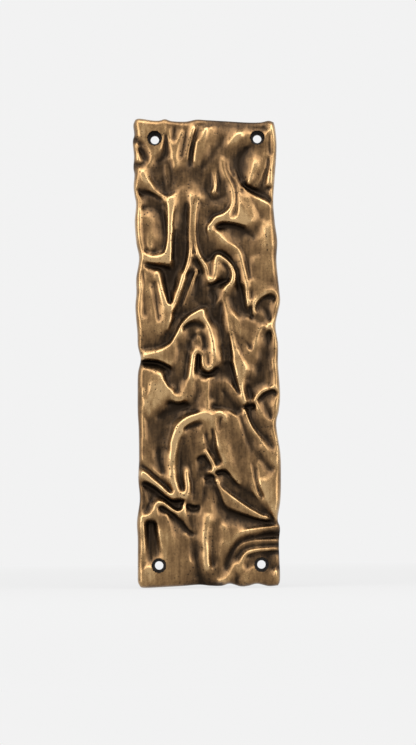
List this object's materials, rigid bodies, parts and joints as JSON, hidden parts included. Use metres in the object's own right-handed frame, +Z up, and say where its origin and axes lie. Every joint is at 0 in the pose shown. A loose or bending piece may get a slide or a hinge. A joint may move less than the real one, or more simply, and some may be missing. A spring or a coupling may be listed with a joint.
{
  "type": "door finger plate",
  "caption": "Tall cast bronze door finger plate with deep cloth-like folds over its front, a wavy rounded edge, a flat back and countersunk corner screw holes.",
  "frame": {"origin": "middle of the flat back face, where the plate meets the door", "axes": "+X to the right as seen from the front, +Y into the door, +Z up along the plate"},
  "size_m": [0.0778, 0.009, 0.2502],
  "materials": {
    "antique_bronze": "dark patina in the folds, rubbed bright on the crests"
  },
  "bodies": {
    "root": {"finger_plate": "antique_bronze"}
  },
  "joints": []
}
